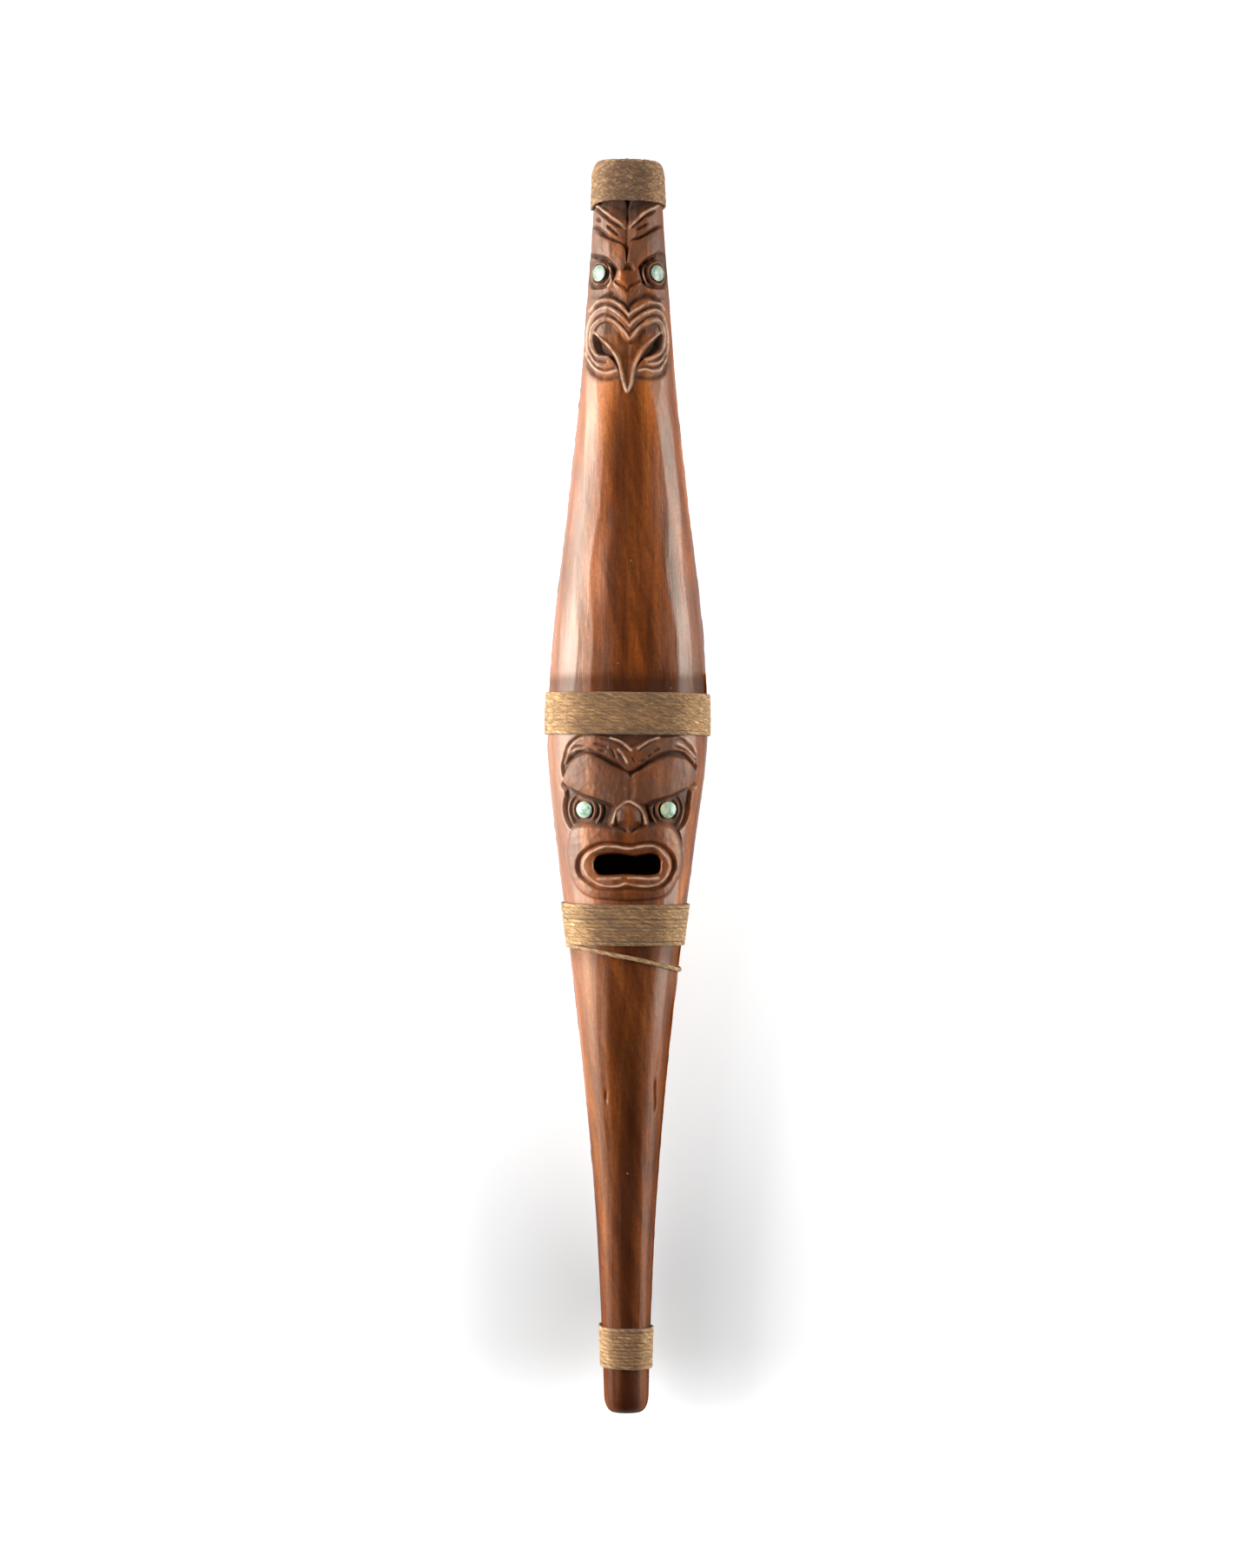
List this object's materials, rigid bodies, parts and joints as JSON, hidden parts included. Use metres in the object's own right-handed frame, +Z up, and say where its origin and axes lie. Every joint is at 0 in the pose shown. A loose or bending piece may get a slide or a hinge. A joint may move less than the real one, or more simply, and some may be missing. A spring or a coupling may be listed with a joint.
{
  "type": "bugle flute",
  "caption": "Spindle-shaped wooden flute in two hollow halves, lashed with twine, with a carved head, a carved face whose mouth is the finger hole, and inlaid shell eyes.",
  "frame": {"origin": "on the table under the middle, where the two middle whippings rest", "axes": "+Y along the body towards the blowing end, +Z up out of the carved front, +X to the right of the carvings"},
  "size_m": [0.061, 0.46, 0.039],
  "materials": {
    "wood": "oiled satin",
    "gum": "dull resin",
    "shell": "pearly polished",
    "twine": "twisted fibre"
  },
  "bodies": {
    "root": {"front_half": "wood", "back_half": "wood", "seam_gum_left": "gum", "seam_gum_right": "gum", "eye_head_left": "shell", "eye_head_right": "shell", "eye_middle_left": "shell", "eye_middle_right": "shell", "whipping_blowing_end": "twine", "whipping_upper": "twine", "whipping_lower": "twine", "whipping_foot": "twine"}
  },
  "joints": []
}
